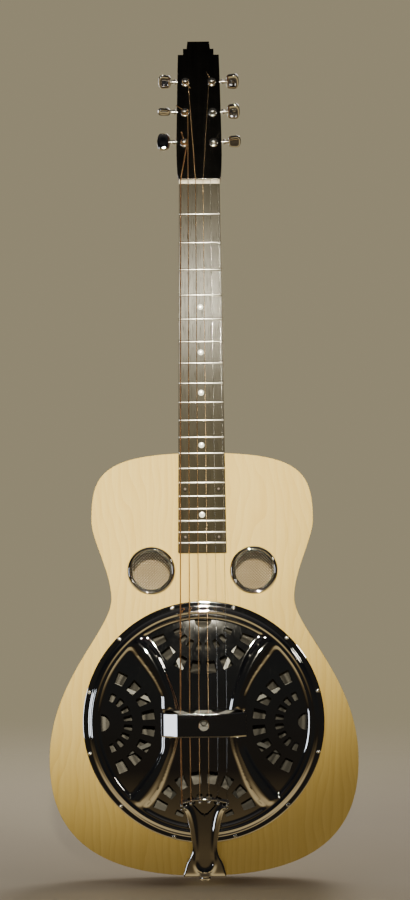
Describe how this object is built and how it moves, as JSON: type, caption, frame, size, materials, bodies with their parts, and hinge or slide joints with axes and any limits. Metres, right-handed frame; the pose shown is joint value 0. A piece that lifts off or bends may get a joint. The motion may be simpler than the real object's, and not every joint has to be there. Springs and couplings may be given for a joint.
{
  "type": "resonator guitar",
  "caption": "Resonator guitar with a pale wooden body, pierced chrome coverplate over a spider bridge and cone, round screens, lyre tailpiece and geared tuners.",
  "frame": {"origin": "where the resonator's axis meets the back's outer face", "axes": "+X to the treble side (right as seen from the front), +Y out of the back, +Z along the neck to the headstock; the strings face -Y"},
  "size_m": [0.3652, 0.112, 1.0038],
  "materials": {
    "top_maple": "raw sanded",
    "body_ply": "raw sanded",
    "block_mahogany": "satin",
    "fingerboard_rosewood": "oiled",
    "headplate_black": "gloss",
    "nut_bone": "polished bone",
    "saddle_maple": "raw",
    "chrome": "mirror",
    "nickel_silver": "polished",
    "machine_nickel": "polished",
    "cone_aluminium": "spun",
    "spider_aluminium": "cast",
    "screw_steel": "plated",
    "wound_bronze": "wound wire",
    "plain_steel": "drawn wire"
  },
  "bodies": {
    "guitar": {"top_plate": "top_maple", "back_plate": "body_ply", "side_rim": "body_ply", "soundwell": "body_ply", "neck_block": "block_mahogany", "tail_block": "block_mahogany", "neck": "block_mahogany", "fingerboard": "fingerboard_rosewood", "headplate": "headplate_black", "nut": "nut_bone", "saddle_bass": "saddle_maple", "saddle_treble": "saddle_maple", "coverplate": "chrome", "handrest": "chrome", "tailpiece": "chrome", "end_pin": "chrome", "screen_left": "chrome", "screen_right": "chrome", "fret_01": "nickel_silver", "fret_02": "nickel_silver", "fret_03": "nickel_silver", "fret_04": "nickel_silver", "fret_05": "nickel_silver", "fret_06": "nickel_silver", "fret_07": "nickel_silver", "fret_08": "nickel_silver", "fret_09": "nickel_silver", "fret_10": "nickel_silver", "fret_11": "nickel_silver", "fret_12": "nickel_silver", "fret_13": "nickel_silver", "fret_14": "nickel_silver", "fret_15": "nickel_silver", "fret_16": "nickel_silver", "fret_17": "nickel_silver", "fret_18": "nickel_silver", "fret_19": "nickel_silver", "tuner_plate_bass": "machine_nickel", "tuner_plate_treble": "machine_nickel", "resonator_cone": "cone_aluminium", "spider_bridge": "spider_aluminium", "tension_screw": "screw_steel", "string_3": "wound_bronze", "string_4": "wound_bronze", "string_5": "wound_bronze", "string_6": "wound_bronze", "string_1": "plain_steel", "string_2": "plain_steel"},
    "knob_1": {"tuner_knob_1": "chrome"},
    "post_1": {"string_post_1": "machine_nickel"},
    "knob_2": {"tuner_knob_2": "chrome"},
    "post_2": {"string_post_2": "machine_nickel"},
    "knob_3": {"tuner_knob_3": "chrome"},
    "post_3": {"string_post_3": "machine_nickel"},
    "knob_4": {"tuner_knob_4": "chrome"},
    "post_4": {"string_post_4": "machine_nickel"},
    "knob_5": {"tuner_knob_5": "chrome"},
    "post_5": {"string_post_5": "machine_nickel"},
    "knob_6": {"tuner_knob_6": "chrome"},
    "post_6": {"string_post_6": "machine_nickel"}
  },
  "joints": [
    {"name": "knob_1_turn", "type": "hinge", "parent": "guitar", "child": "knob_1", "pos_m": [0.01723, -0.06193, 0.68821], "axis": [0.9997, 0.0041, 0.0234], "continuous": true},
    {"name": "post_1_turn", "type": "hinge", "parent": "guitar", "child": "post_1", "pos_m": [0.01739, -0.06735, 0.68257], "axis": [0, -0.9848, 0.1736], "continuous": true},
    {"name": "knob_2_turn", "type": "hinge", "parent": "guitar", "child": "knob_2", "pos_m": [0.01635, -0.05546, 0.72493], "axis": [0.9997, 0.0041, 0.0234], "continuous": true},
    {"name": "post_2_turn", "type": "hinge", "parent": "guitar", "child": "post_2", "pos_m": [0.0165, -0.06087, 0.71929], "axis": [0, -0.9848, 0.1736], "continuous": true},
    {"name": "knob_3_turn", "type": "hinge", "parent": "guitar", "child": "knob_3", "pos_m": [0.01546, -0.04898, 0.76166], "axis": [0.9997, 0.0041, 0.0234], "continuous": true},
    {"name": "post_3_turn", "type": "hinge", "parent": "guitar", "child": "post_3", "pos_m": [0.01562, -0.0544, 0.75601], "axis": [0, -0.9848, 0.1736], "continuous": true},
    {"name": "knob_4_turn", "type": "hinge", "parent": "guitar", "child": "knob_4", "pos_m": [-0.01546, -0.04898, 0.76166], "axis": [0.9997, -0.0041, -0.0234], "continuous": true},
    {"name": "post_4_turn", "type": "hinge", "parent": "guitar", "child": "post_4", "pos_m": [-0.01562, -0.0544, 0.75601], "axis": [0, -0.9848, 0.1736], "continuous": true},
    {"name": "knob_5_turn", "type": "hinge", "parent": "guitar", "child": "knob_5", "pos_m": [-0.01635, -0.05546, 0.72493], "axis": [0.9997, -0.0041, -0.0234], "continuous": true},
    {"name": "post_5_turn", "type": "hinge", "parent": "guitar", "child": "post_5", "pos_m": [-0.0165, -0.06087, 0.71929], "axis": [0, -0.9848, 0.1736], "continuous": true},
    {"name": "knob_6_turn", "type": "hinge", "parent": "guitar", "child": "knob_6", "pos_m": [-0.01723, -0.06193, 0.68821], "axis": [0.9997, -0.0041, -0.0234], "continuous": true},
    {"name": "post_6_turn", "type": "hinge", "parent": "guitar", "child": "post_6", "pos_m": [-0.01739, -0.06735, 0.68257], "axis": [0, -0.9848, 0.1736], "continuous": true}
  ],
  "couplings": [
    {"joint": "post_1_turn", "follows": "knob_1_turn", "ratio": 0.071429},
    {"joint": "post_2_turn", "follows": "knob_2_turn", "ratio": 0.071429},
    {"joint": "post_3_turn", "follows": "knob_3_turn", "ratio": 0.071429},
    {"joint": "post_4_turn", "follows": "knob_4_turn", "ratio": 0.071429},
    {"joint": "post_5_turn", "follows": "knob_5_turn", "ratio": 0.071429},
    {"joint": "post_6_turn", "follows": "knob_6_turn", "ratio": 0.071429}
  ]
}
